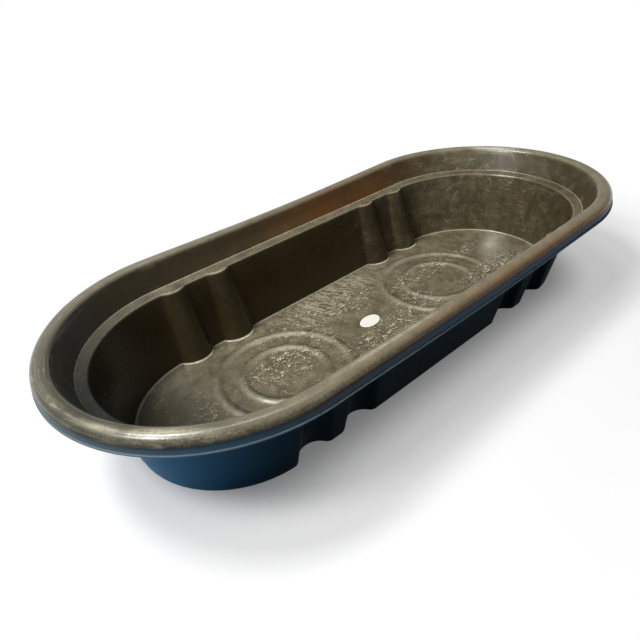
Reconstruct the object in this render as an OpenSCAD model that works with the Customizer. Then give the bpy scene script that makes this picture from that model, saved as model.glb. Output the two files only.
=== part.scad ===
// Oval livestock water trough: one moulded plastic tub with a rolled rim, a ledge round the mouth,
// four pairs of stiffening flutes and a floor with two sets of raised rings, and an oval blank label.
// Millimetres. The trough stands on z = 0 with its length along X and its centre on the Z axis.

/* [Overall] */
// Length over the lip of the rim
overall_length = 1300; // [1100:10:1600]
// Width over the lip of the rim
overall_width = 590; // [540:5:760]
// Height from the ground to the top of the rim
overall_height = 222; // [205:1:300]
// Thickness of the walls, the floor and the ledge
wall = 7; // [5:0.5:8]

/* [Rim] */
// Width of the rolled rim, from the face of its lip to the edge where the collar starts
rim_width = 28; // [24:1:34]
// Height of the lip that hangs down outside
lip_height = 28; // [24:1:36]
// Thickness of the hanging lip
lip_wall = 6; // [4:0.5:7]
// Radius of the outer shoulder of the rim
shoulder_radius = 15; // [8:1:18]
// Radius of the inner shoulder, where the rim rolls into the collar
inner_shoulder_radius = 14; // [6:1:16]
// How far the bead along the bottom edge of the lip stands out
bead_depth = 2.5; // [1:0.5:4]
// Height of that bead
bead_height = 3; // [2:0.5:5]

/* [Ledge] */
// Height of the ledge's inner edge above the ground
ledge_level = 165; // [140:1:185]
// Width of the ledge
ledge_width = 19; // [12:1:26]
// How much higher the outer edge of the ledge is, so that it drains into the basin
ledge_rise = 4; // [2:0.5:6]
// Width of the basin's mouth between the ledge's inner edges
mouth_width = 442; // [400:2:460]

/* [Basin] */
// Width across the foot, outside, on the ground
foot_width = 375; // [330:5:395]
// Height of the inside floor above the ground
floor_level = 18; // [14:1:24]
// Radius between the floor and the wall
floor_radius = 6; // [3:1:12]

/* [Flutes] */
// Distance from the middle of the trough to the middle of a pair of flutes
flute_pair_distance = 274; // [250:2:290]
// Distance between the two flutes of a pair
flute_spacing = 106; // [104:2:114]
// Radius of a flute, inside, at the floor
flute_radius_low = 42; // [36:1:46]
// Radius of a flute, inside, at the ledge
flute_radius_high = 40; // [32:1:44]
// How far a flute stands into the basin at the floor
flute_depth_low = 23; // [14:1:26]
// How far a flute stands into the basin at the ledge
flute_depth_high = 10; // [6:1:14]
// Radius, inside, that blends a flute into the wall on each side
flute_round = 8; // [4:1:10]

/* [Floor rings] */
// Distance from the middle of the trough to the centre of a set of rings
ring_distance = 235; // [215:5:255]
// Radius of the inner ring, at its crest
ring_radius_small = 84; // [60:2:96]
// Radius of the outer ring, at its crest
ring_radius_large = 134; // [118:2:136]
// Width of a ring
ring_width = 26; // [12:1:28]
// Height of a ring above the floor
ring_height = 4; // [1.5:0.5:5]

/* [Label] */
// Length of the oval label on the floor
label_length = 54; // [30:1:80]
// Width of the label
label_width = 36; // [20:1:60]
// How far the label is turned from the trough's length
label_turn = 8; // [-45:1:45]
// Thickness of the label
label_thickness = 0.4; // [0.2:0.1:1]

/* [Hidden] */
$fn = 144;

// Flat steps that stand for each rounded corner of a section
corner_steps = 5;
// Flat steps across a floor ring
ring_steps = 8;
// Flat steps over a flute's round front, and over the blend on each side of it
flute_steps = 10;
blend_steps = 5;
// Corners of the label's oval
label_steps = 72;
// Extra length of a cutting shape beyond the surface that it cuts
overcut = 10;
// Depth that a ring starts below the face that it stands on
root = 1;

// Plan: two half circles and a straight middle
lip_radius = overall_width / 2;
half_straight = overall_length / 2 - lip_radius;

// Basin wall: outside line from the foot to the ledge, inside line one wall nearer the middle
foot_radius = foot_width / 2;
mouth_radius = mouth_width / 2;
wall_slope = (mouth_radius + wall - foot_radius) / ledge_level;
function wall_outside(z) = foot_radius + wall_slope * z;
function wall_inside(z) = wall_outside(z) - wall;
ledge_edge_round = 5;
ledge_foot_round = 4;
under_ledge_round = 6;

// Rim and collar
face_radius = lip_radius - bead_depth;
lip_bottom = overall_height - lip_height;
collar_foot_radius = mouth_radius + ledge_width;
collar_foot_level = ledge_level + ledge_rise;
collar_top_radius = face_radius - rim_width;
collar_slope = (collar_top_radius - collar_foot_radius) / (overall_height - collar_foot_level);
rim_roof = overall_height - wall;
function collar_outside(z) = collar_foot_radius + wall + collar_slope * (z - collar_foot_level);
channel_round = 5;

// Flutes: half columns that stand into the basin and lean outward with the wall
flute_crest_low = wall_inside(floor_level) - flute_depth_low;
flute_crest_high = mouth_radius - flute_depth_high;
flute_rise = ledge_level - floor_level;
flute_lean = (flute_crest_high + flute_radius_high - flute_crest_low - flute_radius_low) / flute_rise;
flute_taper = (flute_radius_high - flute_radius_low) / flute_rise;
function flute_axis(z) = flute_crest_low + flute_radius_low + flute_lean * (z - floor_level);
function flute_radius(z) = flute_radius_low + flute_taper * (z - floor_level);
// A flute's plan is three arcs: its round front, and on each side a blend that ends on the wall's line.
// A blend's centre lies flute_blend_across beside the flute's middle, flute_blend_back in front of its axis.
function flute_blend_back(z) = flute_axis(z) - wall_inside(z) + flute_round;
function flute_blend_across(z) = sqrt(pow(flute_radius(z) + flute_round, 2) - pow(flute_blend_back(z), 2));
function flute_flank(z) = atan2(flute_blend_across(z), flute_blend_back(z));
// Past each blend the plan runs on by the lead, at a slant that takes it clear of the wall's line
flute_lead = 6;
flute_lead_slant = 1.5;
flute_places = [for (end = [-1, 1], side = [-1, 1]) end * flute_pair_distance + side * flute_spacing / 2];
flute_sides = [0, 180];

// Rounded corners: each corner is [radius from the middle, height, corner radius]
function unit(v) = v / norm(v);
function flat(corner) = [corner[0], corner[1]];
function corner_arc(before, corner, after) =
    let (
        at = flat(corner),
        to_before = unit(flat(before) - at),
        to_after = unit(flat(after) - at),
        half_angle = acos(to_before * to_after) / 2,
        centre = at + unit(to_before + to_after) * corner[2] / sin(half_angle),
        start = at + to_before * corner[2] / tan(half_angle) - centre,
        finish = at + to_after * corner[2] / tan(half_angle) - centre,
        first_angle = atan2(start[1], start[0]),
        swing = (atan2(finish[1], finish[0]) - first_angle + 540) % 360 - 180
    )
    [for (i = [0 : corner_steps])
        let (angle = first_angle + swing * i / corner_steps)
        centre + corner[2] * [cos(angle), sin(angle)]];
function rounded(corners) = [for (i = [0 : len(corners) - 1])
    let (corner = corners[i])
    each corner[2] == 0
        ? [flat(corner)]
        : corner_arc(corners[i - 1], corner, corners[i + 1])];

// The outside of the tub, filled to the middle, up over the collar and down into the lip
outside_section = rounded([
    [0, 0, 0],
    [foot_radius, 0, 0],
    [wall_outside(ledge_level - wall), ledge_level - wall, under_ledge_round],
    [collar_foot_radius + wall, collar_foot_level - wall, under_ledge_round],
    [collar_outside(rim_roof), rim_roof, channel_round],
    [face_radius - lip_wall, rim_roof, channel_round],
    [face_radius - lip_wall, lip_bottom, 0],
    [lip_radius, lip_bottom, 0],
    [lip_radius, lip_bottom + bead_height, 0],
    [face_radius, lip_bottom + bead_height, 0],
    [face_radius, overall_height, shoulder_radius],
    [0, overall_height, 0]
]);

// The space inside: floor, wall, ledge, collar and the inner shoulder of the rim
inside_section = rounded([
    [0, floor_level, 0],
    [wall_inside(floor_level), floor_level, floor_radius],
    [mouth_radius, ledge_level, ledge_edge_round],
    [collar_foot_radius, collar_foot_level, ledge_foot_round],
    [collar_top_radius, overall_height, inner_shoulder_radius],
    [lip_radius, overall_height, 0],
    [lip_radius, overall_height + overcut, 0],
    [0, overall_height + overcut, 0]
]);

// The shallow hollow under the floor, which leaves the wall's bottom edge as the foot
under_floor = floor_level - wall;
under_section = [
    [0, -overcut],
    [wall_inside(-overcut), -overcut],
    [wall_inside(under_floor), under_floor],
    [0, under_floor]
];

// One side of a flute's plan at a height, from its middle outward, in from the inside surface by inset
function flute_side(z, inset) =
    let (
        front = flute_radius(z) - inset,
        blend = flute_round + inset,
        across = flute_blend_across(z),
        line = wall_inside(z) + inset,
        flank = flute_flank(z)
    )
    concat(
        [for (i = [0 : flute_steps / 2 - 1])
            let (angle = flank * 2 * i / flute_steps)
            [front * sin(angle), flute_axis(z) - front * cos(angle)]],
        [for (i = [0 : blend_steps])
            let (angle = flank * (1 - i / blend_steps))
            [across - blend * sin(angle), line - blend + blend * cos(angle)]],
        [[across + flute_lead, line + flute_lead_slant]]
    );

// The whole plan at a height, closed outside the wall
function flute_plan(z, inset) =
    let (
        side = flute_side(z, inset),
        end = [side[len(side) - 1][0], wall_outside(z) + overcut],
        half = concat(side, [end])
    )
    concat(
        [for (i = [len(half) - 1 : -1 : 1]) [-half[i][0], half[i][1], z]],
        [for (p = half) [p[0], p[1], z]]
    );

function both_sides(half) = concat(half, [for (i = [len(half) - 2 : -1 : 1]) [-half[i][0], half[i][1]]]);

// A section carried round the oval: half a turn at each end and straight along the sides
module oval(section) {
    for (end = [-1, 1])
        translate([end * half_straight, 0, 0])
            rotate([0, 0, -90 * end])
                rotate_extrude(angle = 180)
                    polygon(section);
    translate([-half_straight, 0, 0])
        rotate([90, 0, 90])
            linear_extrude(2 * half_straight)
                polygon(both_sides(section));
}

// One flute between two heights, filled from its front to outside the wall
module flute(inset, low, high) {
    plan_low = flute_plan(low, inset);
    plan_high = flute_plan(high, inset);
    count = len(plan_low);
    polyhedron(
        points = concat(plan_low, plan_high),
        faces = concat(
            [[for (i = [0 : count - 1]) i]],
            [[for (i = [count - 1 : -1 : 0]) count + i]],
            [for (i = [0 : count - 1]) let (next = (i + 1) % count) [i, count + i, next]],
            [for (i = [0 : count - 1]) let (next = (i + 1) % count) [next, count + i, count + next]]
        )
    );
}

module flutes(inset, low, high) {
    for (turn = flute_sides)
        rotate([0, 0, turn])
            for (place = flute_places)
                translate([place, 0, 0])
                    flute(inset, low, high);
}

// One raised ring, a low arch in section, standing on the level given
module floor_ring(crest_radius, level) {
    arch = [for (i = [0 : ring_steps])
        let (across = i / ring_steps)
        [crest_radius + ring_width * (across - 0.5), level + ring_height * sin(180 * across)]];
    foot = [
        [crest_radius + ring_width / 2, level - root],
        [crest_radius - ring_width / 2, level - root]
    ];
    rotate_extrude()
        polygon(concat(arch, foot));
}

module floor_rings(level) {
    for (end = [-1, 1])
        translate([end * ring_distance, 0, 0])
            for (crest_radius = [ring_radius_small, ring_radius_large])
                floor_ring(crest_radius, level);
}

// The space inside the basin, which the flutes and the floor rings stand into
module basin_space() {
    difference() {
        oval(inside_section);
        flutes(0, 0, ledge_level);
        floor_rings(floor_level);
    }
}

// The hollow under the floor, inside the foot
module under_space() {
    difference() {
        oval(under_section);
        flutes(0, -2 * overcut, ledge_level);
    }
    floor_rings(under_floor);
}

module trough_moulding() {
    color("#4d493c")
        difference() {
            oval(outside_section);
            basin_space();
            flutes(wall, -overcut, ledge_level - wall);
            under_space();
        }
}

module floor_label() {
    color("#f1eee4")
        translate([0, 0, floor_level])
            rotate([0, 0, label_turn])
                linear_extrude(label_thickness)
                    polygon([for (i = [0 : label_steps - 1])
                        let (angle = 360 * i / label_steps)
                        [label_length / 2 * cos(angle), label_width / 2 * sin(angle)]]);
}

trough_moulding();
floor_label();
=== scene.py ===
"""An oval livestock water trough, moulded in one piece from dark recycled polyethylene."""
import math
from collections import namedtuple

import bmesh
import bpy
import numpy as np
from mathutils import Matrix, Vector


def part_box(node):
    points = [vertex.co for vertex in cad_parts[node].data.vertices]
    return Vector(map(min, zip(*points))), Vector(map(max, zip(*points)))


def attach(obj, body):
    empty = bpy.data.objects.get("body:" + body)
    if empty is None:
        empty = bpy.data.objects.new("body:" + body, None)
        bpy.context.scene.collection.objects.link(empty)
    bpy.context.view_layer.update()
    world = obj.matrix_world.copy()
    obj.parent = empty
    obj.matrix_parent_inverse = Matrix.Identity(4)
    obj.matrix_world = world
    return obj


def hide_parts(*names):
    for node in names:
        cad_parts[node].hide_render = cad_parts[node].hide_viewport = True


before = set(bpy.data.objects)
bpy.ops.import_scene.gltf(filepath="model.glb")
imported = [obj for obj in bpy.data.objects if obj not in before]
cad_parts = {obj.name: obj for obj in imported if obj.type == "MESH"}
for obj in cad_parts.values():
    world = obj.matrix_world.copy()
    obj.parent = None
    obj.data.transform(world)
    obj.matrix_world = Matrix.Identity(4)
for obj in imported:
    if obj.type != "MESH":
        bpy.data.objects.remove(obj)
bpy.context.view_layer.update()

# The object's lengths are in millimetres. The stage, lights and camera are placed in metres, Blender's unit
MM = 0.001

# Overall sizes, taken from the frame
tub_low, tub_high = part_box("trough_moulding")
label_low, label_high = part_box("floor_label")
overall_length = (tub_high.x - tub_low.x) / MM
overall_width = (tub_high.y - tub_low.y) / MM
overall_height = tub_high.z / MM
floor_level = label_low.z / MM
label_thickness = (label_high.z - label_low.z) / MM
lip_radius = overall_width / 2
half_straight = overall_length / 2 - lip_radius

# Wall, rim, ledge and foot
wall = 7
rim_width = 28
lip_height = 28
lip_wall = 6
shoulder_radius = 15
inner_shoulder_radius = 14
bead_depth = 2.5
bead_height = 3
ledge_level = 165
ledge_rise = 4
ledge_width = 19
mouth_radius = 221
foot_radius = 187.5

# Flutes: half columns that stand into the basin in four pairs
flute_pair_distance = 274
flute_spacing = 106
flute_radius_low = 42
flute_radius_high = 40
flute_depth_low = 23
flute_depth_high = 10
flute_round = 8

# Sag of the rim in the middle of each long side, and how far along the trough it reaches
rim_sag = 6
sag_reach = 415

# Raised rings on the floor
ring_distance = 235
ring_radii = (84, 134)
ring_width = 26
ring_height = 4

# Oval label on the floor, with its long side near the trough's length
label_length = 54
label_width = 36
label_turn = math.radians(8)

# Sizes that follow from those
wall_slope = (mouth_radius + wall - foot_radius) / ledge_level
under_floor = floor_level - wall
face_radius = lip_radius - bead_depth
lip_bottom = overall_height - lip_height
collar_foot_radius = mouth_radius + ledge_width
collar_foot_level = ledge_level + ledge_rise
collar_top_radius = face_radius - rim_width
collar_slope = (collar_top_radius - collar_foot_radius) / (overall_height - collar_foot_level)
rim_roof = overall_height - wall
flute_places = [
    end * flute_pair_distance + side * flute_spacing / 2
    for end in (-1, 1)
    for side in (-1, 1)
]


def wall_outside(z):
    """Radius of the basin wall's outside at a height."""
    return foot_radius + wall_slope * z


def wall_inside(z):
    """Radius of the basin wall's inside at a height."""
    return wall_outside(z) - wall


def collar_outside(z):
    """Radius of the collar's outside at a height."""
    return collar_foot_radius + wall + collar_slope * (z - collar_foot_level)


def flute_axis(z):
    """How far from the middle line a flute's axis stands at a height."""
    low = wall_inside(floor_level) - flute_depth_low + flute_radius_low
    high = mouth_radius - flute_depth_high + flute_radius_high
    return low + (high - low) * (z - floor_level) / (ledge_level - floor_level)


def flute_radius(z):
    """Radius of a flute's column at a height."""
    share = (z - floor_level) / (ledge_level - floor_level)
    return flute_radius_low + (flute_radius_high - flute_radius_low) * share


# The tub's section. Each corner has its place and radius, and the step along the span that leads to it.
# Inner and outer say how much of a flute's inside and outside form it follows. Outside is 0 within the tub,
# up to 1 on the lip and 2 beyond it. The last field says how pale the corner is: rubbed wear, and partly a
# painted highlight along its rounded edge.
Corner = namedtuple(
    "Corner", "radius height round step inner outer outside worn", defaults=(0, 10, 0, 0, 0, 0))
FLOOR_STEP = 3.5
ARC_STEPS = 8

section = [
    Corner(0, floor_level),
    Corner(wall_inside(floor_level), floor_level, round=6, step=FLOOR_STEP, inner=1, worn=0.9),
    Corner(mouth_radius, ledge_level, round=8, inner=1, worn=0.45),
    Corner(collar_foot_radius, collar_foot_level, round=4, worn=1),
    Corner(collar_top_radius, overall_height, round=inner_shoulder_radius),
    Corner(face_radius, overall_height, round=shoulder_radius, outside=0.4),
    Corner(face_radius, lip_bottom + bead_height, round=0.8, outside=1),
    Corner(lip_radius, lip_bottom + bead_height, round=1.2, outside=1),
    Corner(lip_radius, lip_bottom, round=1.2, outside=1),
    Corner(face_radius - lip_wall, lip_bottom, round=2, outside=2),
    Corner(face_radius - lip_wall, rim_roof, round=5, outside=2),
    Corner(collar_outside(rim_roof), rim_roof, round=5, outside=2),
    Corner(collar_foot_radius + wall, collar_foot_level - wall, round=7, outside=2),
    Corner(wall_outside(ledge_level - wall), ledge_level - wall, round=7, outer=1, outside=2),
    Corner(foot_radius, 0, round=3, outer=1, outside=2),
    Corner(wall_inside(0), 0, round=2, inner=1, outside=2),
    Corner(wall_inside(under_floor), under_floor, round=3, inner=1, outside=2),
    Corner(0, under_floor, step=FLOOR_STEP, outside=2),
]

# Marks that moulding and use have left, and places of painted light and shade, as soft oval spots in plan
Spot = namedtuple("Spot", "x y length width turn strength", defaults=(0, 1))

flow_spots = [
    Spot(-225, 22, 75, 42, strength=0.8),
    Spot(-385, 10, 50, 34, strength=0.12),
    Spot(10, 90, 70, 30),
    Spot(-105, 70, 28, 70, strength=0.85),
    Spot(0, 120, 190, 60, strength=0.5),
    Spot(0, -55, 110, 34, strength=0.75),
    Spot(225, 50, 95, 26),
    Spot(140, -40, 34, 55, strength=0.85),
    Spot(370, -60, 90, 26, strength=0.9),
    Spot(385, 45, 60, 22, strength=0.8),
]
wear_spots = [
    Spot(520, 150, 300, 300),
    Spot(500, 190, 150, 110, strength=1.5),
    Spot(-600, 20, 120, 160, strength=0.2),
]
rub_spots = [
    Spot(-600, -80, 130, 220),
]
# Painted highlights along the rim's crown and inner shoulder
painted_highlight_spots = [
    Spot(-556, -192, 90, 10, turn=-45, strength=0.85),
    Spot(-602, -133, 60, 7, turn=-62, strength=0.8),
    Spot(-619, -94, 40, 7, turn=-70, strength=0.5),
    Spot(-633, -22, 45, 6, turn=-86, strength=0.6),
    Spot(-100, 281, 380, 10, strength=0.3),
    Spot(-230, -274, 130, 4, strength=0.6),
    Spot(598, 109, 90, 9, turn=114, strength=0.9),
]
# Swept clean of dust; the large spot at the left end is also painted shade
swept_and_shaded_spots = [
    Spot(-540, -40, 160, 220),
    Spot(-526, 162, 60, 60, strength=0.35),
    Spot(554, -86, 50, 90, strength=0.25),
]
# Painted sheen on the floor at the right end
painted_sheen_spots = [
    Spot(472, 14, 75, 20, turn=28, strength=0.5),
]
stain_spots = [
    Spot(165, 245, 210, 26),
    Spot(430, -290, 160, 10, strength=0.9),
    Spot(100, -288, 300, 12, strength=0.75),
]
# Painted light on the outside and the lip at the left end
painted_light_spots = [
    Spot(-610, -60, 140, 230),
]
# Painted shadow on the floor by the left wall
painted_shadow_spots = [
    Spot(-490, 75, 70, 110, strength=2),
]
# The bead's pale line: wear, and partly a painted highlight, strongest at the near left
bead_wear_and_highlight_spots = [
    Spot(-330, -230, 220, 150, strength=0.55),
]
cool_spots = [
    Spot(-570, 60, 200, 320),
    Spot(-150, 285, 420, 30, strength=0.6),
]
lime_spots = [
    Spot(-540, 75, 60, 80),
    Spot(-590, 40, 40, 160, strength=0.4),
]
comb_spots = [
    Spot(40, 150, 170, 55),
    Spot(-60, 110, 60, 50, strength=0.8),
]
lip_film_spots = [
    Spot(-330, -290, 190, 60, strength=0.4),
    Spot(-600, -120, 110, 190, strength=0.12),
]


def corner_arc(before, at, after):
    """The points of a rounded corner between its two neighbours, or the corner itself where it is sharp."""
    point = np.array([at.radius, at.height], float)
    if at.round == 0:
        return [point]
    back = np.array([before.radius, before.height]) - point
    ahead = np.array([after.radius, after.height]) - point
    back /= np.linalg.norm(back)
    ahead /= np.linalg.norm(ahead)
    half_angle = math.acos(np.dot(back, ahead)) / 2
    middle = (back + ahead) / np.linalg.norm(back + ahead)
    centre = point + middle * at.round / math.sin(half_angle)
    start = point + back * at.round / math.tan(half_angle) - centre
    finish = point + ahead * at.round / math.tan(half_angle) - centre
    first = math.atan2(start[1], start[0])
    swing = (math.atan2(finish[1], finish[0]) - first + 3 * math.pi) % (2 * math.pi) - math.pi
    angles = [first + swing * i / ARC_STEPS for i in range(ARC_STEPS + 1)]
    return [centre + at.round * np.array([math.cos(a), math.sin(a)]) for a in angles]


def section_rows(corners):
    """Rows of [radius, height, inner, outer, outside, paleness from wear and painted highlight] all the way
    along the section.
    """
    rows = []
    for i, at in enumerate(corners):
        before = corners[max(i - 1, 0)]
        after = corners[min(i + 1, len(corners) - 1)]
        points = corner_arc(before, at, after)
        # Paleness peaks mid-arc: wear, and partly a painted highlight along the rounded edge
        worn = at.worn * np.sin(np.linspace(0, math.pi, len(points))) ** 4
        arc = [[*point, at.inner, at.outer, at.outside, pale] for point, pale in zip(points, worn)]
        if rows:
            last = np.array(rows[-1])
            span = np.array(arc[0]) - last
            count = max(1, round(np.linalg.norm(span[:2]) / at.step))
            rows += [list(last + span * k / count) for k in range(1, count)]
        rows += arc
    return np.array(rows)


def side_places(flute_step, side_step, flute_reach):
    """Places along a straight side, from right to left, closer together at the flutes."""
    places = [half_straight]
    while places[-1] > -half_straight:
        away = min(abs(places[-1] - flute) for flute in flute_places)
        step = flute_step if away < flute_reach else side_step
        places.append(max(places[-1] - step, -half_straight))
    return places


def oval_stations(end_steps):
    """Stations round the oval: the X of the middle line there, and the way out from it in plan."""
    side = side_places(flute_step=2.5, side_step=4, flute_reach=48)
    stations = []
    for end in (1, -1):
        turn = math.pi / 2 * (1 - end)
        for i in range(end_steps):
            angle = turn - math.pi / 2 + math.pi * i / end_steps
            stations.append((end * half_straight, math.cos(angle), math.sin(angle)))
        for x in (side if end > 0 else side[::-1])[:-1]:
            stations.append((x, 0, end))
    return np.array(stations)


def flute_shift(heights, away, inset):
    """How far a flute draws each row of the wall in, at each station's distance from the flute's middle."""
    z = np.clip(heights, 0, ledge_level)[:, None]
    away = away[None, :]
    line = wall_inside(z) + inset
    axis = flute_axis(z)
    front = flute_radius(z) - inset
    blend = flute_round + inset
    across = np.sqrt((front + blend) ** 2 - (axis - line + blend) ** 2)
    column = axis - np.sqrt(np.maximum(front ** 2 - away ** 2, 0))
    hollow = line - blend + np.sqrt(np.maximum(blend ** 2 - (across - away) ** 2, 0))
    face = np.where(away < across * front / (front + blend), column, hollow)
    return np.where(away < across, line - face, 0)


def ring_relief(x, y):
    """Height of the raised rings at points of the floor."""
    relief = np.zeros_like(x)
    for end in (-1, 1):
        distance = np.hypot(x - end * ring_distance, y)
        for radius in ring_radii:
            across = np.clip((distance - radius) / ring_width, -0.5, 0.5)
            relief += ring_height * np.cos(math.pi * across) ** 2
    return relief


def ring_slope_shading(x, y):
    """How steeply the raised rings slope down towards the far right, from -1 to 1: those slopes get painted
    shade, and the slopes facing the near left a painted sheen.
    """
    step_x = 3
    step_y = 4
    steepness = 1.2
    slope_shading = ring_relief(x - step_x, y - step_y) - ring_relief(x + step_x, y + step_y)
    return np.clip(steepness * slope_shading / ring_height, -1, 1)


def soft_spots(x, y, spots):
    """How strongly soft oval spots cover points in plan. Each has its full strength in its middle."""
    cover = np.zeros_like(x)
    for spot in spots:
        turn = math.radians(spot.turn)
        along = (x - spot.x) * math.cos(turn) + (y - spot.y) * math.sin(turn)
        across = (y - spot.y) * math.cos(turn) - (x - spot.x) * math.sin(turn)
        reach = (along / spot.length) ** 2 + (across / spot.width) ** 2
        cover = np.maximum(cover, spot.strength * np.exp(-reach))
    return cover


def mesh_object(name, points, faces):
    """A new object in the scene, from points in metres and faces."""
    mesh = bpy.data.meshes.new(name)
    mesh.from_pydata(points, [], faces)
    piece = bpy.data.objects.new(name, mesh)
    bpy.context.scene.collection.objects.link(piece)
    return piece


def band_faces(row_count, station_count):
    """Faces between neighbouring rows of points that each run once round."""
    faces = []
    for i in range(row_count - 1):
        row = i * station_count
        next_row = row + station_count
        for j in range(station_count):
            k = (j + 1) % station_count
            faces.append([row + j, row + k, next_row + k, next_row + j])
    return faces


def clean_up(piece, reach):
    """Joins doubled points, turns the faces outwards and shades them smooth."""
    form = bmesh.new()
    form.from_mesh(piece.data)
    bmesh.ops.remove_doubles(form, verts=form.verts, dist=reach * MM)
    bmesh.ops.recalc_face_normals(form, faces=form.faces)
    form.to_mesh(piece.data)
    form.free()
    piece.data.shade_smooth()


def trough_moulding():
    """The whole tub: its section carried round the oval, with the flutes, the floor rings and the sag."""
    rows = section_rows(section)
    stations = oval_stations(end_steps=120)
    radius, height, inner, outer, outside, worn = rows.T
    middle, out_x, out_y = stations.T

    # Flutes stand square to the straight sides and leave the ends alone
    wall_x = middle + wall_inside(ledge_level / 2) * out_x
    away = np.min(np.abs(wall_x[:, None] - np.array(flute_places)[None, :]), axis=1)
    looks_sideways = np.abs(out_y) > 0.5
    away = np.where(looks_sideways, away, overall_width)
    drawn_in = inner[:, None] * flute_shift(height, away, 0)
    drawn_in += outer[:, None] * flute_shift(height, away, wall)
    reach = radius[:, None] - drawn_in

    x = middle[None, :] + reach * out_x[None, :]
    y = reach * out_y[None, :]
    flat = np.isclose(height, floor_level) | np.isclose(height, under_floor)
    z = height[:, None] + np.where(flat[:, None], ring_relief(x, y), 0)

    # In use the rim has sagged a little in the middle of each long side
    rim_share = np.clip((height - collar_foot_level) / (lip_bottom - collar_foot_level), 0, 1)
    z -= rim_sag * rim_share[:, None] * np.clip(1 - (x / sag_reach) ** 2, 0, 1) ** 2

    points = np.stack([x, y, z], axis=-1).reshape(-1, 3) * MM
    row_count, station_count = x.shape
    piece = mesh_object("trough_moulding_skin", points.tolist(), band_faces(row_count, station_count))

    # Where the points lie
    ledge_margin = 2
    whole = np.ones_like(x)
    within = outside < 1
    by_ledge = (height > ledge_level - ledge_margin) & (height < collar_foot_level + ledge_margin)
    on_floor = (flat & within)[:, None] * whole
    on_ledge = (by_ledge & within)[:, None] * whole
    on_rim = ((height > overall_height - shoulder_radius) & within)[:, None] * whole
    on_bead = (radius > face_radius + bead_depth / 2)[:, None] * whole
    on_outside = np.clip(outside, 0, 1)[:, None] * whole
    above_ledge = (height > collar_foot_level)[:, None] * whole
    flute_in = inner[:, None] * flute_shift(height, away, 0) * within[:, None]
    flute_crest = flute_in / np.maximum(flute_in.max(axis=1, keepdims=True), 1)
    shoulder_line_radius = face_radius - 0.87 * shoulder_radius
    shoulder_line_width = 3.5
    shoulder_line = np.exp(-((radius - shoulder_line_radius) / shoulder_line_width) ** 2)[:, None] * on_rim

    # Masks for the materials
    least_rub = 0.35
    least_bead_wear_and_highlight = 0.25
    least_edge_wear_and_highlight = 0.8
    rub = soft_spots(x, y, rub_spots)
    # Swept clean of dust, and painted shade at the left end
    swept_and_shaded = soft_spots(x, y, swept_and_shaded_spots) * (1 - 0.1 * on_rim)
    # Pale bead and edges: wear, and partly painted highlights, brightest on the flute tops
    bead_wear_and_highlight = on_bead * (least_bead_wear_and_highlight + soft_spots(x, y, bead_wear_and_highlight_spots))
    edge_wear_and_highlight = np.maximum(worn[:, None], bead_wear_and_highlight) * (least_edge_wear_and_highlight + flute_crest) * (1 - 0.6 * swept_and_shaded)
    # Ring slopes: painted shade where they face the far right, painted sheen where they face the near left
    slope_shading = ring_slope_shading(x, y)
    masks = {
        "outside": on_outside,
        "floor": on_floor,
        "ledge": on_ledge * np.abs(out_x)[None, :],
        "crest": flute_crest,
        "flow": soft_spots(x, y, flow_spots),
        "wear": soft_spots(x, y, wear_spots),
        "rub": on_rim * np.clip(least_rub + rub, 0, 1),
        # Painted highlights on the rim, and a rubbed scuff line along its outer shoulder
        "painted_highlight_and_scuff": np.maximum(on_rim * soft_spots(x, y, painted_highlight_spots), 0.6 * rub * shoulder_line),
        "swept_and_shaded": swept_and_shaded,
        "worn": np.clip(edge_wear_and_highlight, 0, 1),
        # Painted sheen and painted shade on the floor
        "painted_sheen": np.maximum(-0.3 * slope_shading, soft_spots(x, y, painted_sheen_spots)) * on_floor,
        "painted_shade": np.maximum(slope_shading, soft_spots(x, y, painted_shadow_spots)) * on_floor,
        "stain": soft_spots(x, y, stain_spots) * above_ledge,
        # Painted light at the left end
        "painted_light_end": soft_spots(x, y, painted_light_spots),
        "cool": soft_spots(x, y, cool_spots),
        "comb": soft_spots(x, y, comb_spots) * on_floor,
        "lime": soft_spots(x, y, lime_spots),
        "lip_film": soft_spots(x, y, lip_film_spots) * on_outside,
    }
    for name, values in masks.items():
        attribute = piece.data.attributes.new(name, "FLOAT", "POINT")
        attribute.data.foreach_set("value", values.ravel().astype(np.float32))

    # Streaks run round the oval, so their pattern is squeezed along it and left as it is up the section
    squeeze = 10
    plan_x = middle + mouth_radius * out_x
    plan_y = mouth_radius * out_y
    steps = np.hypot(np.diff(plan_x, append=plan_x[:1]), np.diff(plan_y, append=plan_y[:1]))
    turn = 2 * math.pi * np.cumsum(steps) / steps.sum()
    ring = steps.sum() / (2 * math.pi) / squeeze
    climb = np.cumsum(np.hypot(np.diff(radius, prepend=0), np.diff(height, prepend=floor_level)))
    way_x = ring * np.cos(turn) * whole
    way_y = ring * np.sin(turn) * whole
    way = np.stack([way_x, way_y, climb[:, None] * whole], axis=-1)
    attribute = piece.data.attributes.new("way", "FLOAT_VECTOR", "POINT")
    attribute.data.foreach_set("vector", (way * MM).ravel().astype(np.float32))

    # The first material is on the inside and the rim's crown, the second on the lip, the third on the rest
    on_lip = (outside > 0) & (height < overall_height - shoulder_radius / 2)
    slots = np.where(outside > 1, 2, np.where(on_lip, 1, 0))[:-1]
    piece.data.polygons.foreach_set("material_index", np.repeat(slots, station_count).astype(np.int32))
    clean_up(piece, reach=0.05)
    return piece


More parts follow.
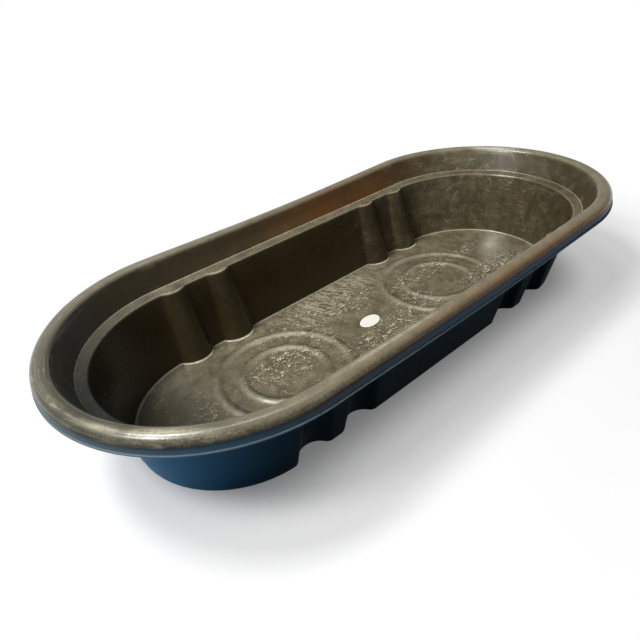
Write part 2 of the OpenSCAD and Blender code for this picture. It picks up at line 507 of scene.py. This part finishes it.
def floor_label():
    """An oval vinyl label with a softly rounded edge."""
    edge = label_thickness / 2
    edge_steps = 4
    face_steps = 8
    turns = 120
    profile = []
    for i in range(edge_steps + 1):
        angle = math.pi / 2 * i / edge_steps
        profile.append((edge - edge * math.cos(angle), edge + edge * math.sin(angle)))
    for i in range(1, face_steps + 1):
        profile.append((edge + (label_width / 2 - edge) * i / face_steps, label_thickness))
    profile = [(label_width / 2, 0), (0, 0)] + profile
    spin = Matrix.Rotation(label_turn, 4, "Z")
    points = []
    for inset, z in profile:
        for i in range(turns):
            angle = 2 * math.pi * i / turns
            share = 1 - 2 * inset / label_width
            along = (label_length / 2 - inset) * math.cos(angle) if share > 0 else 0
            across = (label_width / 2 - inset) * math.sin(angle)
            points.append(spin @ Vector((along * MM, across * MM, (floor_level + z) * MM)))
    piece = mesh_object("floor_label_oval", points, band_faces(len(profile), turns))
    clean_up(piece, reach=0.001)
    return piece


def linear(hex_colour):
    """An sRGB hex value as linear red, green, blue and alpha."""
    channels = [int(hex_colour[i:i + 2], 16) / 255 for i in (1, 3, 5)]
    return [c / 12.92 if c <= 0.04045 else ((c + 0.055) / 1.055) ** 2.4 for c in channels] + [1]


def per_metre(size):
    """Pattern scale, in repeats to the metre, for a feature of a size in millimetres."""
    return 1 / (size * MM)


def under_top(depth):
    """Height in metres of a level so many millimetres under the rim's top."""
    return (overall_height - depth) * MM


def over_ledge(rise):
    """Height in metres of a level so many millimetres over the ledge's inner edge."""
    return (ledge_level + rise) * MM


def add(tree, kind, settings, inputs):
    """A new node with its settings, and its inputs as plain values or as outputs of other nodes."""
    node = tree.nodes.new(kind)
    for name, value in settings.items():
        setattr(node, name, value)
    for name, value in inputs.items():
        if isinstance(value, bpy.types.NodeSocket):
            tree.links.new(value, node.inputs[name])
        else:
            node.inputs[name].default_value = value
    return node


def new_material(name):
    """A new material and its node tree, which is still empty."""
    material = bpy.data.materials.new(name)
    material.use_nodes = True
    material.node_tree.nodes.clear()
    return material, material.node_tree


# Kinds of node that the materials use
NOISE = "ShaderNodeTexNoise"
RANGE = "ShaderNodeMapRange"
MATH = "ShaderNodeMath"
VECTOR_MATH = "ShaderNodeVectorMath"
MIX = "ShaderNodeMix"
MASK = "ShaderNodeAttribute"
COORDINATES = "ShaderNodeTexCoord"
SPLIT = "ShaderNodeSeparateXYZ"
BUMP = "ShaderNodeBump"
PLASTIC = "ShaderNodeBsdfPrincipled"
SURFACE = "ShaderNodeOutputMaterial"

# Settings of those nodes
COLOURS = {"data_type": "RGBA"}
SMOOTH = {"interpolation_type": "SMOOTHSTEP"}
RIDGES = {"noise_type": "RIDGED_MULTIFRACTAL"}
TIMES = {"operation": "MULTIPLY"}
PLUS = {"operation": "ADD"}
MINUS = {"operation": "SUBTRACT"}
TIMES_PLUS = {"operation": "MULTIPLY_ADD"}
LARGER = {"operation": "MAXIMUM"}

# Numbers of a mix node's sockets: the share, two values, two colours, and the mixed colour that comes out
SHARE = 0
FIRST = 2
SECOND = 3
UNDER = 6
OVER = 7
MIXED = 2

# Size of the grain that the mould's face leaves, and how deep it looks
grain_size = 2.2
grain_depth = 0.4

# Refractive index of polyethylene and of label vinyl
polyethylene_index = 1.51
vinyl_index = 1.53


def flow_marks(tree, place, mask, cloud, patchy):
    """Pale strokes that the flowing plastic left in the floor, partly painted glints, and a painted shadow
    beside each of them.
    """
    ridge_size = 8
    break_size = 10
    comb_size = 10
    comb_turn = math.radians(16)
    comb_stretch = 6
    painted_shadow_step = 3
    field = add(tree, MATH, TIMES_PLUS, {0: cloud, 1: 0.7, 2: mask["flow"]}).outputs[0]
    field = add(tree, RANGE, SMOOTH, {"Value": field, "From Min": 0.25, "From Max": 0.9}).outputs[0]
    field = add(tree, MATH, TIMES, {0: field, 1: mask["floor"]}).outputs[0]
    marks = []
    # The first pass gives the pale strokes with painted glints, the second, shifted pass a painted shadow
    # beside each stroke
    for step in (0, painted_shadow_step):
        shift = (0.4 * step * MM, step * MM, 0)
        there = add(tree, VECTOR_MATH, PLUS, {0: place, 1: shift}).outputs[0]

        # Short crooked ridges, thick in some places
        pattern = {"Vector": there, "Scale": per_metre(ridge_size), "Detail": 0, "Offset": 1,
                   "Distortion": 1.2}
        ridge = add(tree, NOISE, RIDGES, pattern).outputs["Fac"]
        ridge = add(tree, MATH, TIMES_PLUS, {0: mask["flow"], 1: 0.08, 2: ridge}).outputs[0]
        ridge = add(tree, RANGE, SMOOTH, {"Value": ridge, "From Min": 0.74, "From Max": 0.95}).outputs[0]
        pattern = {"Vector": there, "Scale": per_metre(break_size), "Detail": 2}
        broken = add(tree, NOISE, {}, pattern).outputs["Fac"]
        broken = add(tree, RANGE, SMOOTH, {"Value": broken, "From Min": 0.46, "From Max": 0.56}).outputs[0]
        for share in (broken, field):
            ridge = add(tree, MATH, TIMES, {0: ridge, 1: share}).outputs[0]

        # Longer strokes side by side, as if combed
        stretch = {"Vector": there, "Rotation": (0, 0, comb_turn), "Scale": (1, comb_stretch, 1)}
        drawn = add(tree, "ShaderNodeMapping", {"vector_type": "TEXTURE"}, stretch).outputs[0]
        pattern = {"Vector": drawn, "Scale": per_metre(comb_size), "Detail": 1, "Offset": 1,
                   "Distortion": 0.9}
        comb = add(tree, NOISE, RIDGES, pattern).outputs["Fac"]
        limits = {"Value": comb, "From Min": 0.7, "From Max": 1.1, "To Max": 0.5}
        comb = add(tree, RANGE, SMOOTH, limits).outputs[0]
        for share in (mask["comb"], patchy):
            comb = add(tree, MATH, TIMES, {0: comb, 1: share}).outputs[0]
        marks.append(add(tree, MATH, LARGER, {0: ridge, 1: comb}).outputs[0])
    return marks


def lime_specks(tree, place, mask, blotch, level):
    """Small pale specks where water has dried on the steep end wall."""
    speck_size = 14
    pattern = {"Vector": place, "Scale": per_metre(speck_size)}
    away = add(tree, "ShaderNodeTexVoronoi", {}, pattern).outputs["Distance"]
    limits = {"Value": away, "From Min": 0.05, "From Max": 0.26, "To Min": 0.6, "To Max": 0}
    dots = add(tree, RANGE, SMOOTH, limits).outputs[0]
    few = add(tree, RANGE, SMOOTH, {"Value": blotch, "From Min": 0.46, "From Max": 0.58}).outputs[0]
    steep = add(tree, MATH, MINUS, {0: 1, 1: level}).outputs[0]
    for share in (mask["lime"], steep):
        few = add(tree, MATH, TIMES, {0: few, 1: share}).outputs[0]
    return add(tree, MATH, TIMES, {0: dots, 1: few}).outputs[0]


def scuffs(tree, place, way, mask, blotch):
    """Thin pale lines round the oval and across it, on the rim and on the end that animals rub against."""
    along_size = 7
    across_size = 35
    pattern = {"Vector": way, "Scale": per_metre(along_size), "Detail": 0, "Offset": 1, "Distortion": 0.25}
    along = add(tree, NOISE, RIDGES, pattern).outputs["Fac"]
    along = add(tree, RANGE, SMOOTH, {"Value": along, "From Min": 0.86, "From Max": 0.97}).outputs[0]
    rubbed = add(tree, MATH, TIMES, {0: mask["wear"], 1: 0.5}).outputs[0]
    rubbed = add(tree, MATH, LARGER, {0: rubbed, 1: mask["rub"]}).outputs[0]
    along = add(tree, MATH, TIMES, {0: along, 1: rubbed}).outputs[0]
    pattern = {"Vector": place, "Scale": per_metre(across_size), "Detail": 0, "Offset": 1, "Distortion": 0.8}
    across = add(tree, NOISE, RIDGES, pattern).outputs["Fac"]
    across = add(tree, RANGE, SMOOTH, {"Value": across, "From Min": 0.94, "From Max": 0.99}).outputs[0]
    across = add(tree, MATH, TIMES, {0: across, 1: mask["wear"]}).outputs[0]
    line = add(tree, MATH, LARGER, {0: along, 1: across}).outputs[0]
    limits = {"Value": blotch, "From Min": 0.4, "From Max": 0.6, "To Max": 0.6}
    patch = add(tree, RANGE, SMOOTH, limits).outputs[0]
    return add(tree, MATH, TIMES, {0: line, 1: patch}).outputs[0]


def moulded_polyethylene(finish, specular):
    """Recycled polyethylene from a mould, in use: satin brown-black on steep faces, dusty with a painted
    sheen on level ones.
    """
    material, tree = new_material("moulded_recycled_polyethylene_" + finish)
    place = add(tree, COORDINATES, {}, {}).outputs["Object"]
    above = add(tree, SPLIT, {}, {0: place}).outputs["Z"]
    facing = add(tree, "ShaderNodeNewGeometry", {}, {}).outputs["Normal"]
    upward = add(tree, SPLIT, {}, {0: facing}).outputs["Z"]
    way = add(tree, MASK, {"attribute_name": "way"}, {}).outputs["Vector"]
    mask_names = (
        "outside", "floor", "ledge", "crest", "flow", "wear", "rub", "painted_highlight_and_scuff", "swept_and_shaded", "worn",
        "painted_sheen", "painted_shade", "stain", "painted_light_end", "cool", "comb", "lime", "lip_film",
    )
    mask = {name: add(tree, MASK, {"attribute_name": name}, {}).outputs["Fac"] for name in mask_names}

    # Uneven patterns: what each one follows, its size and how much detail it has
    patterns = {
        "drift": (place, 130, 3),
        "cloud": (place, 55, 6),
        "blotch": (place, 25, 5),
        "chip": (place, 12, 4),
        "streak": (way, 5, 5),
        "speckle": (place, 4, 4),
        "brush": (way, 2.5, 2),
        "grain": (place, grain_size, 2),
    }
    uneven = {}
    for name, (followed, size, detail) in patterns.items():
        pattern = {"Vector": followed, "Scale": per_metre(size), "Detail": detail}
        uneven[name] = add(tree, NOISE, {}, pattern).outputs["Fac"]

    # Bare plastic: uneven brown-black, cooler and darker where swept clean and where shade is painted at the
    # left end, rusty where water stood, blue on the lip, paler grey-blue where light is painted at the left
    # end
    mixture = {SHARE: uneven["drift"], UNDER: linear("#251f0f"), OVER: linear("#44361a")}
    bare = add(tree, MIX, COLOURS, mixture).outputs[MIXED]
    rust = add(tree, MATH, TIMES, {0: mask["stain"], 1: uneven["drift"]}).outputs[0]
    for cover, shade in ((mask["swept_and_shaded"], "#08191a"), (rust, "#8a5210")):
        bare = add(tree, MIX, COLOURS, {SHARE: cover, UNDER: bare, OVER: linear(shade)}).outputs[MIXED]
    mixture = {SHARE: mask["painted_light_end"], UNDER: linear("#2a6e94"), OVER: linear("#647a86")}
    lip = add(tree, MIX, COLOURS, mixture).outputs[MIXED]
    limits = {"Value": above, "From Min": under_top(18), "From Max": under_top(9),
              "To Min": 1, "To Max": 0}
    below_crown = add(tree, RANGE, SMOOTH, limits).outputs[0]
    on_lip = add(tree, MATH, TIMES, {0: mask["outside"], 1: below_crown}).outputs[0]
    bare = add(tree, MIX, COLOURS, {SHARE: on_lip, UNDER: bare, OVER: lip}).outputs[MIXED]

    # A pale film lies where the surface looks up: dust, and a painted sheen of light mirrored by level
    # faces. There is less of it where it is swept clean, where shade is painted at the left end, and at the
    # ends of the ledge
    level = add(tree, RANGE, SMOOTH, {"Value": upward, "From Min": 0.28, "From Max": 0.85}).outputs[0]
    limits = {"Value": uneven["cloud"], "From Min": 0.3, "From Max": 0.7, "To Min": 0.8}
    patchy = add(tree, RANGE, {}, limits).outputs[0]
    kept = add(tree, RANGE, {}, {"Value": mask["swept_and_shaded"], "To Min": 1, "To Max": 0.1}).outputs[0]
    kept_on_ledge = add(tree, RANGE, {}, {"Value": mask["ledge"], "To Min": 1, "To Max": 0.65}).outputs[0]
    film_and_sheen = level
    for share in (patchy, kept, kept_on_ledge):
        film_and_sheen = add(tree, MATH, TIMES, {0: film_and_sheen, 1: share}).outputs[0]

    # It drapes over the lip in streaks and specks, less of it at the end where light is painted
    limits = {"Value": above, "From Min": under_top(17), "From Max": under_top(6.5), "To Max": 0.9}
    drape = add(tree, RANGE, SMOOTH, limits).outputs[0]
    turned_out = add(tree, RANGE, {}, {"Value": mask["outside"], "From Max": 0.4}).outputs[0]
    mottled = add(tree, MIX, {}, {SHARE: 0.6, FIRST: uneven["streak"], SECOND: uneven["speckle"]}).outputs[0]
    limits = {"Value": mottled, "From Min": 0.4, "From Max": 0.58, "To Min": 0.55}
    left_on = add(tree, RANGE, {}, limits).outputs[0]
    less_at_end = add(tree, RANGE, {}, {"Value": mask["painted_light_end"], "To Min": 1, "To Max": 0.4}).outputs[0]
    for share in (turned_out, left_on, less_at_end):
        drape = add(tree, MATH, TIMES, {0: drape, 1: share}).outputs[0]

    # It clings to rubbed walls and flutes, and dries in a tide mark up to the ledge
    limits = {"Value": uneven["cloud"], "From Min": 0.3, "From Max": 0.7, "To Min": 0.3, "To Max": 0.7}
    thin = add(tree, RANGE, {}, limits).outputs[0]
    clinging = add(tree, MATH, TIMES, {0: thin, 1: mask["wear"]}).outputs[0]
    on_flute = add(tree, MATH, TIMES, {0: mask["crest"], 1: 0.16}).outputs[0]
    limits = {"Value": above, "From Min": over_ledge(-65), "From Max": over_ledge(5), "To Max": 0.14}
    tide = add(tree, RANGE, SMOOTH, limits).outputs[0]
    inside = add(tree, MATH, MINUS, {0: 1, 1: turned_out}).outputs[0]
    tide = add(tree, MATH, TIMES, {0: tide, 1: inside}).outputs[0]
    for other in (drape, mask["lip_film"], clinging, on_flute, tide):
        film_and_sheen = add(tree, MATH, LARGER, {0: film_and_sheen, 1: other}).outputs[0]

    # Its tone is speckled and streaked along the rim, with a grey and a rusty cast in places
    along_rim = add(tree, MATH, TIMES, {0: mask["rub"], 1: 0.5}).outputs[0]
    tone = add(tree, MIX, {}, {SHARE: 0.5, FIRST: uneven["blotch"], SECOND: uneven["speckle"]}).outputs[0]
    tone = add(tree, MIX, {}, {SHARE: along_rim, FIRST: tone, SECOND: uneven["streak"]}).outputs[0]
    tone = add(tree, RANGE, {}, {"Value": tone, "From Min": 0.36, "From Max": 0.64}).outputs[0]
    # Colour of the film: dust, and a painted sheen
    mixture = {SHARE: tone, UNDER: linear("#544d3a"), OVER: linear("#827960")}
    dust_and_sheen = add(tree, MIX, COLOURS, mixture).outputs[MIXED]
    grey = add(tree, MATH, TIMES, {0: mask["cool"], 1: 0.75}).outputs[0]
    limits = {"Value": uneven["blotch"], "From Min": 0.35, "From Max": 0.6, "To Min": 0.2}
    rusty = add(tree, RANGE, {}, limits).outputs[0]
    rusty = add(tree, MATH, TIMES, {0: mask["stain"], 1: rusty}).outputs[0]
    for cover, shade in ((grey, "#62645f"), (rusty, "#7c4c20")):
        dust_and_sheen = add(tree, MIX, COLOURS, {SHARE: cover, UNDER: dust_and_sheen, OVER: linear(shade)}).outputs[MIXED]

    # It is paler on the rim's crown and on worn edges, which are rubbed and partly painted highlights, on
    # the painted sheen of the floor, and on the painted highlights of the rim
    limits = {"Value": uneven["chip"], "From Min": 0.35, "From Max": 0.6, "To Min": 0.65}
    some = add(tree, RANGE, {}, limits).outputs[0]
    # Worn edges: wear, and partly painted highlights
    edge = add(tree, MATH, TIMES, {0: mask["worn"], 1: some}).outputs[0]
    painted_sheen = add(tree, MATH, TIMES, {0: mask["painted_sheen"], 1: some}).outputs[0]
    draped = add(tree, MATH, TIMES, {0: drape, 1: 0.12}).outputs[0]
    # Painted highlights on the rim, paler where the tone is paler
    painted_highlight_and_scuff = add(tree, RANGE, SMOOTH, {"Value": tone, "From Min": 0.1, "From Max": 0.7, "To Min": 0.65})
    painted_highlight_and_scuff = add(tree, MATH, TIMES, {0: painted_highlight_and_scuff.outputs[0], 1: mask["painted_highlight_and_scuff"]}).outputs[0]
    # The rim's crown is paler: rubbed, and partly a painted highlight
    limits = {"Value": above, "From Min": under_top(17), "From Max": under_top(0), "To Max": 0.18}
    pale = add(tree, RANGE, SMOOTH, limits).outputs[0]
    for other in (edge, draped, painted_sheen, painted_highlight_and_scuff):
        pale = add(tree, MATH, LARGER, {0: pale, 1: other}).outputs[0]
    mixture = {SHARE: on_lip, UNDER: linear("#dad2b8"), OVER: linear("#c0c4c0")}
    palest = add(tree, MIX, COLOURS, mixture).outputs[MIXED]
    dust_and_sheen = add(tree, MIX, COLOURS, {SHARE: pale, UNDER: dust_and_sheen, OVER: palest}).outputs[MIXED]
    # Painted highlights and worn edges also take the pale film
    for other in (edge, painted_highlight_and_scuff):
        film_and_sheen = add(tree, MATH, LARGER, {0: film_and_sheen, 1: other}).outputs[0]

    # Over the film lie painted shade on the ring slopes and by the left wall, a painted shadow beside each
    # flow mark, the flow marks with painted glints, lime and scuffs
    colour = add(tree, MIX, COLOURS, {SHARE: film_and_sheen, UNDER: bare, OVER: dust_and_sheen}).outputs[MIXED]
    painted_shade = add(tree, MATH, TIMES, {0: mask["painted_shade"], 1: 0.4}).outputs[0]
    # Pale flow marks with painted glints, and a painted shadow beside each (hollow)
    flow_mark_and_glint, hollow = flow_marks(tree, place, mask, uneven["cloud"], patchy)
    layers = [
        (painted_shade, "#2b2618"),
        (hollow, "#292316"),
        (flow_mark_and_glint, "#cdc4aa"),
        (lime_specks(tree, place, mask, uneven["blotch"], level), "#6c706a"),
        (scuffs(tree, place, way, mask, uneven["blotch"]), "#a0977e"),
    ]
    for cover, shade in layers:
        colour = add(tree, MIX, COLOURS, {SHARE: cover, UNDER: colour, OVER: linear(shade)}).outputs[MIXED]

    # Satin from the mould's face, duller on the collar and polished where it is rubbed
    mixture = {SHARE: along_rim, FIRST: uneven["grain"], SECOND: uneven["brush"]}
    texture = add(tree, MIX, {}, mixture).outputs[0]
    limits = {"Value": texture, "From Min": 0.35, "From Max": 0.65, "To Min": 0.22, "To Max": 0.32}
    rough = add(tree, RANGE, {}, limits).outputs[0]
    limits = {"Value": above, "From Min": over_ledge(5), "From Max": over_ledge(15)}
    collar_foot = add(tree, RANGE, SMOOTH, limits).outputs[0]
    limits = {"Value": above, "From Min": under_top(22), "From Max": under_top(10),
              "To Min": 0.16, "To Max": 0}
    collar_top = add(tree, RANGE, SMOOTH, limits).outputs[0]
    dull = add(tree, MATH, TIMES, {0: collar_foot, 1: collar_top}).outputs[0]
    polish = add(tree, MATH, LARGER, {0: mask["rub"], 1: mask["worn"]}).outputs[0]
    polish = add(tree, MATH, TIMES, {0: polish, 1: -0.06}).outputs[0]
    for change in (dull, polish):
        rough = add(tree, MATH, PLUS, {0: rough, 1: change}).outputs[0]

    # Grain, flow marks standing a little proud, and small knocks on the rim
    relief = add(tree, MATH, TIMES, {0: uneven["grain"], 1: 0.5}).outputs[0]
    knock = add(tree, MATH, TIMES, {0: mask["rub"], 1: uneven["speckle"]}).outputs[0]
    for mark, rise in ((flow_mark_and_glint, 3), (knock, 1.6)):
        relief = add(tree, MATH, TIMES_PLUS, {0: mark, 1: rise, 2: relief}).outputs[0]
    bump = add(tree, BUMP, {}, {"Height": relief, "Strength": 0.25, "Distance": grain_depth * MM}).outputs[0]

    shader = add(tree, PLASTIC, {}, {"Base Color": colour, "Roughness": rough, "IOR": polyethylene_index,
                                     "Specular IOR Level": specular, "Normal": bump})
    add(tree, SURFACE, {}, {"Surface": shader.outputs[0]})
    return material


def clean_moulded_polyethylene():
    """The same polyethylene outside, where nothing rubs it: dull blue-black, with painted light turning it
    blue at one end.
    """
    drift_size = 90
    streak_size = 12
    material, tree = new_material("moulded_recycled_polyethylene_outside")
    place = add(tree, COORDINATES, {}, {}).outputs["Object"]
    way = add(tree, MASK, {"attribute_name": "way"}, {}).outputs["Vector"]
    painted_light_end = add(tree, MASK, {"attribute_name": "painted_light_end"}, {}).outputs["Fac"]
    pattern = {"Vector": place, "Scale": per_metre(drift_size), "Detail": 4}
    drift = add(tree, NOISE, {}, pattern).outputs["Fac"]
    pattern = {"Vector": way, "Scale": per_metre(streak_size), "Detail": 4}
    streak = add(tree, NOISE, {}, pattern).outputs["Fac"]
    mixed = add(tree, MATH, TIMES, {0: drift, 1: streak}).outputs[0]
    mixture = {SHARE: mixed, UNDER: linear("#031820"), OVER: linear("#0a3548")}
    dark = add(tree, MIX, COLOURS, mixture).outputs[MIXED]
    # A lighter blue copy, mixed in at one end, is painted light
    mixture = {SHARE: mixed, UNDER: linear("#2786c2"), OVER: linear("#389cd8")}
    light = add(tree, MIX, COLOURS, mixture).outputs[MIXED]
    colour = add(tree, MIX, COLOURS, {SHARE: painted_light_end, UNDER: dark, OVER: light}).outputs[MIXED]
    pattern = {"Vector": place, "Scale": per_metre(grain_size), "Detail": 2}
    grain = add(tree, NOISE, {}, pattern).outputs["Fac"]
    rough = add(tree, RANGE, {}, {"Value": grain, "To Min": 0.36, "To Max": 0.5}).outputs[0]
    bump = add(tree, BUMP, {}, {"Height": grain, "Strength": 0.15, "Distance": grain_depth * MM}).outputs[0]
    shader = add(tree, PLASTIC, {}, {"Base Color": colour, "Roughness": rough, "IOR": polyethylene_index,
                                     "Specular IOR Level": 0.06, "Normal": bump})
    add(tree, SURFACE, {}, {"Surface": shader.outputs[0]})
    return material


def calendered_label_vinyl():
    """Unprinted white label vinyl: smooth and satin, a little yellowed and smudged."""
    smudge_size = 14
    material, tree = new_material("calendered_label_vinyl")
    place = add(tree, COORDINATES, {}, {}).outputs["Object"]
    pattern = {"Vector": place, "Scale": per_metre(smudge_size), "Detail": 4}
    smudge = add(tree, NOISE, {}, pattern).outputs["Fac"]
    smudge = add(tree, RANGE, SMOOTH, {"Value": smudge, "From Min": 0.5, "From Max": 0.8}).outputs[0]
    mixture = {SHARE: smudge, UNDER: linear("#f1eee4"), OVER: linear("#d3cdbb")}
    colour = add(tree, MIX, COLOURS, mixture).outputs[MIXED]
    shader = add(tree, PLASTIC, {}, {"Base Color": colour, "Roughness": 0.35, "IOR": vinyl_index})
    add(tree, SURFACE, {}, {"Surface": shader.outputs[0]})
    return material


def background_rays(tree):
    """Rays straight from the camera, and then those together with mirrored rays and rays through glass."""
    rays = add(tree, "ShaderNodeLightPath", {}, {}).outputs
    straight = rays["Is Camera Ray"]
    seen = straight
    for kind in ("Is Glossy Ray", "Is Transmission Ray"):
        seen = add(tree, MATH, LARGER, {0: seen, 1: rays[kind]}).outputs[0]
    return straight, seen


def studio_paper():
    """White paper roll, which keeps the object's shadow and fades to an even white away from it."""
    fade_start = 300
    fade_end = 750
    foot_shadow_start = 170
    foot_shadow_end = 300
    material, tree = new_material("white_studio_paper")
    straight, seen = background_rays(tree)

    # How far each place lies from the middle line of the oval
    place = add(tree, COORDINATES, {}, {}).outputs["Object"]
    split = add(tree, SPLIT, {}, {0: place}).outputs
    past_end = add(tree, MATH, {"operation": "ABSOLUTE"}, {0: split["X"]}).outputs[0]
    past_end = add(tree, MATH, MINUS, {0: past_end, 1: half_straight * MM}).outputs[0]
    past_end = add(tree, MATH, LARGER, {0: past_end, 1: 0}).outputs[0]
    plan = add(tree, "ShaderNodeCombineXYZ", {}, {"X": past_end, "Y": split["Y"]}).outputs[0]
    away = add(tree, VECTOR_MATH, {"operation": "LENGTH"}, {0: plan}).outputs["Value"]

    # White takes over with distance, and part of the way near the foot for rays straight from the camera
    limits = {"Value": away, "From Min": fade_start * MM, "From Max": fade_end * MM, "To Min": 0.08}
    far = add(tree, RANGE, SMOOTH, limits).outputs[0]
    far = add(tree, MATH, TIMES, {0: far, 1: seen}).outputs[0]
    limits = {"Value": away, "From Min": foot_shadow_start * MM, "From Max": foot_shadow_end * MM,
              "To Min": 0.15, "To Max": 0.5}
    by_foot = add(tree, RANGE, SMOOTH, limits).outputs[0]
    lifted = add(tree, MATH, TIMES, {0: straight, 1: by_foot}).outputs[0]
    far = add(tree, MATH, LARGER, {0: far, 1: lifted}).outputs[0]
    mixture = {SHARE: seen, UNDER: linear("#8c8c8c"), OVER: linear("#f7f7f7")}
    colour = add(tree, MIX, COLOURS, mixture).outputs[MIXED]
    paper = add(tree, "ShaderNodeBsdfDiffuse", {}, {"Color": colour}).outputs[0]
    white = add(tree, "ShaderNodeEmission", {}, {"Color": linear("#ffffff"), "Strength": 1}).outputs[0]
    surface = add(tree, "ShaderNodeMixShader", {}, {0: far, 1: paper, 2: white}).outputs[0]
    add(tree, SURFACE, {}, {"Surface": surface})
    return material


def soft_light(name, place, aim, width, depth, power):
    """A white rectangular light that looks at a point, with its power in watts."""
    lamp = bpy.data.lights.new(name, "AREA")
    lamp.shape = "RECTANGLE"
    lamp.size = width
    lamp.size_y = depth
    lamp.energy = power
    lamp.color = linear("#ffffff")[:3]
    holder = bpy.data.objects.new(name, lamp)
    holder.location = place
    holder.rotation_euler = (Vector(aim) - Vector(place)).to_track_quat("-Z", "Y").to_euler()
    bpy.context.scene.collection.objects.link(holder)


# The object
tub = trough_moulding()
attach(tub, "root")
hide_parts("trough_moulding")
tub.data.materials.append(moulded_polyethylene("dusty_with_sheen", specular=0.45))
tub.data.materials.append(moulded_polyethylene("lip", specular=0.06))
tub.data.materials.append(clean_moulded_polyethylene())

label = floor_label()
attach(label, "root")
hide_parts("floor_label")
label.data.materials.append(calendered_label_vinyl())

# The stage
paper_half = 40
paper_corners = [(-paper_half, -paper_half, 0), (paper_half, -paper_half, 0),
                 (paper_half, paper_half, 0), (-paper_half, paper_half, 0)]
paper_roll = mesh_object("paper_roll", paper_corners, [(0, 1, 2, 3)])
paper_roll.data.materials.append(studio_paper())

# Light: two soft lights overhead and a third high at the left end
soft_light("overhead_light_left", (-1.3, 0.98, 3.4), (-0.4, 0, 0.1), width=0.8, depth=0.8, power=80)
soft_light("overhead_light_right", (0.2, 0.8, 3.4), (0.3, 0, 0.1), width=1.0, depth=0.8, power=19)
soft_light("left_light", (-2.2, 0.1, 2.75), (0, 0, 0.1), width=0.8, depth=0.7, power=60)

# The air: white to the camera, and white near the horizon to mirrored rays and rays through glass
air_strength = 0.1
upper_strength = 0.12
world = bpy.data.worlds.new("studio_air")
bpy.context.scene.world = world
world.use_nodes = True
air_tree = world.node_tree
air_tree.nodes.clear()
camera_rays, shown_rays = background_rays(air_tree)
direction = add(air_tree, COORDINATES, {}, {}).outputs["Generated"]
sky_height = add(air_tree, SPLIT, {}, {0: direction}).outputs["Z"]
horizon = {"Value": sky_height, "From Min": 0.02, "From Max": 0.15, "To Min": 1, "To Max": upper_strength}
backdrop = add(air_tree, RANGE, SMOOTH, horizon).outputs[0]
strength = add(air_tree, MIX, {}, {SHARE: shown_rays, FIRST: air_strength, SECOND: backdrop}).outputs[0]
strength = add(air_tree, MATH, LARGER, {0: strength, 1: camera_rays}).outputs[0]
air = add(air_tree, "ShaderNodeBackground", {}, {"Color": linear("#ffffff"), "Strength": strength})
add(air_tree, "ShaderNodeOutputWorld", {}, {"Surface": air.outputs[0]})

# The camera, at the photograph's angle
sensor = 36
focal_pixels = 547.7
image_pixels = 640
yaw = math.radians(37.94)
pitch = math.radians(33.38)
roll = math.radians(-6.52)
aim_point = Vector((-0.0695, 0.0871, 0.0180))
camera_distance = 1.2209
camera = bpy.data.objects.new("camera", bpy.data.cameras.new("camera"))
camera.data.sensor_width = sensor
camera.data.lens = sensor * focal_pixels / image_pixels
camera_turn = Matrix.Rotation(-yaw, 4, "Z")
camera_turn = camera_turn @ Matrix.Rotation(math.pi / 2 - pitch, 4, "X")
camera_turn = camera_turn @ Matrix.Rotation(roll, 4, "Z")
step_back = Matrix.Translation((0, 0, camera_distance))
camera.matrix_world = Matrix.Translation(aim_point) @ camera_turn @ step_back
bpy.context.scene.collection.objects.link(camera)
bpy.context.scene.camera = camera
bpy.context.scene.view_settings.view_transform = "Standard"
